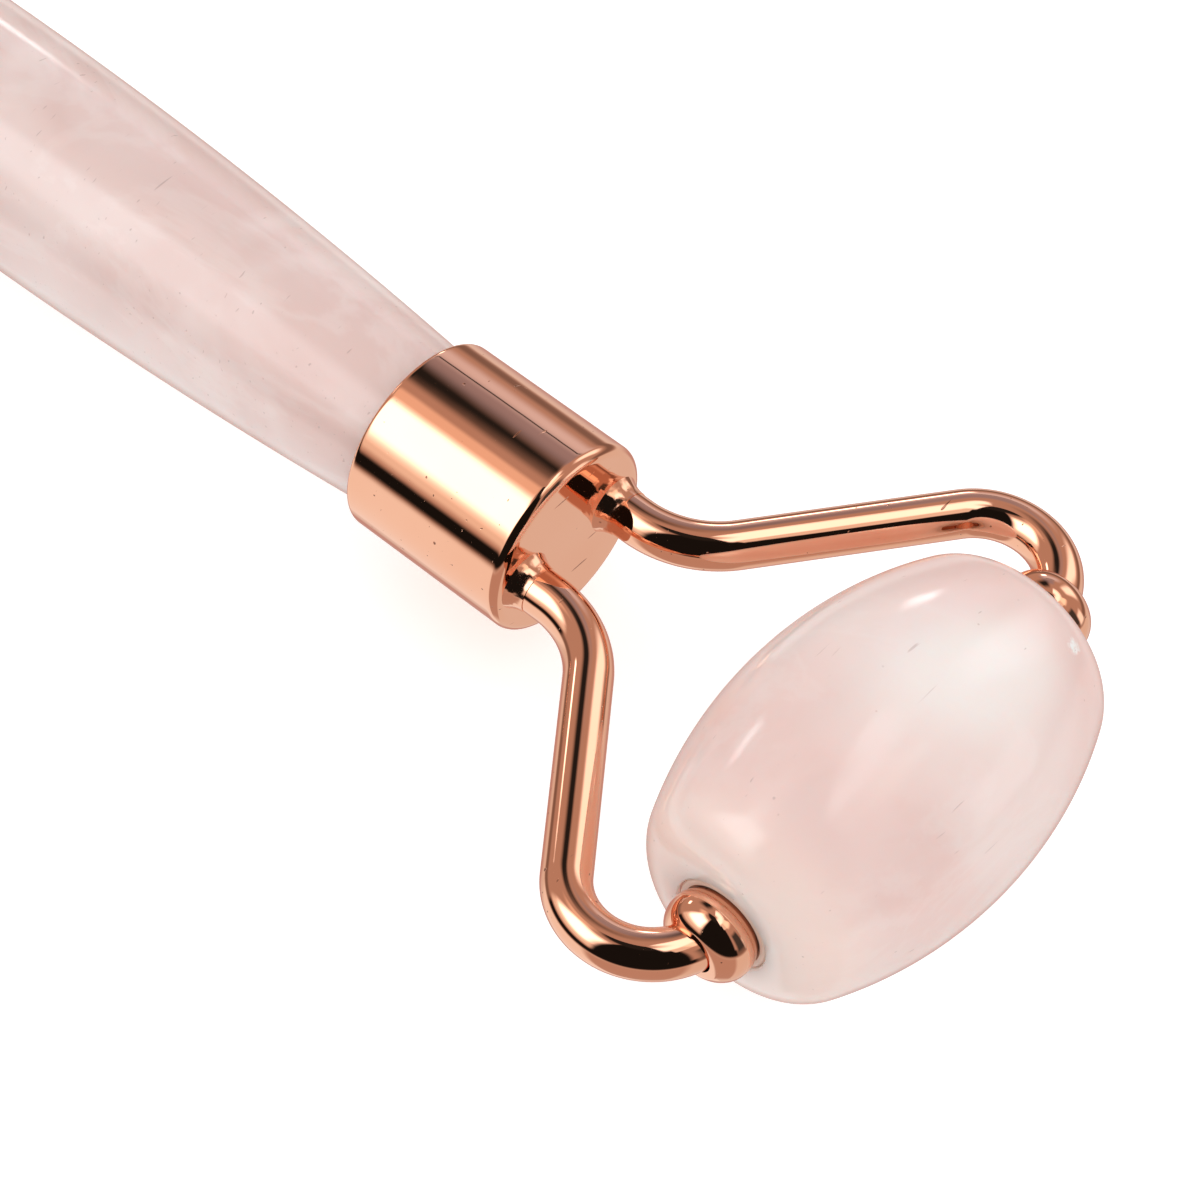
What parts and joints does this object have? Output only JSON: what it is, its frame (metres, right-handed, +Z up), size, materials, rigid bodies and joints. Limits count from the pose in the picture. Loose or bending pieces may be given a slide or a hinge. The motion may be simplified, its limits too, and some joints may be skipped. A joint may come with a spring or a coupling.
{
  "type": "face roller",
  "caption": "Two-ended face roller: barrel-shaped stone rollers turn between bent wire arms in metal ferrules on a spindle-shaped stone handle.",
  "frame": {"origin": "under the middle of the whole length, on the surface that the large roller lies on", "axes": "+X along the handle towards the large head, +Y along the axles, +Z up, square to the plane of the arms"},
  "size_m": [0.154, 0.0386, 0.018],
  "materials": {
    "rose_quartz": "polished, cloudy pale pink",
    "rose_gold": "mirror-polished rose-gold plate",
    "solder": "plated solder fillet",
    "nylon": "moulded, beige",
    "set_glue": "set epoxy glue"
  },
  "bodies": {
    "handle_and_arms": {"handle": "rose_quartz", "large_ferrule": "rose_gold", "large_adhesive": "set_glue", "large_left_arm": "rose_gold", "large_left_solder_ring": "solder", "large_left_collar": "rose_gold", "large_right_arm": "rose_gold", "large_right_solder_ring": "solder", "large_right_collar": "rose_gold", "small_ferrule": "rose_gold", "small_adhesive": "set_glue", "small_left_arm": "rose_gold", "small_left_solder_ring": "solder", "small_left_collar": "rose_gold", "small_right_arm": "rose_gold", "small_right_solder_ring": "solder", "small_right_collar": "rose_gold"},
    "large_roller": {"large_roller_stone": "rose_quartz", "large_left_bush": "nylon", "large_right_bush": "nylon"},
    "small_roller": {"small_roller_stone": "rose_quartz", "small_left_bush": "nylon", "small_right_bush": "nylon"}
  },
  "joints": [
    {"name": "large_roller_spin", "type": "hinge", "parent": "handle_and_arms", "child": "large_roller", "pos_m": [0.06803, 0, 0.009], "axis": [0, 1, 0], "continuous": true},
    {"name": "small_roller_spin", "type": "hinge", "parent": "handle_and_arms", "child": "small_roller", "pos_m": [-0.06978, 0, 0.009], "axis": [0, 1, 0], "continuous": true}
  ]
}
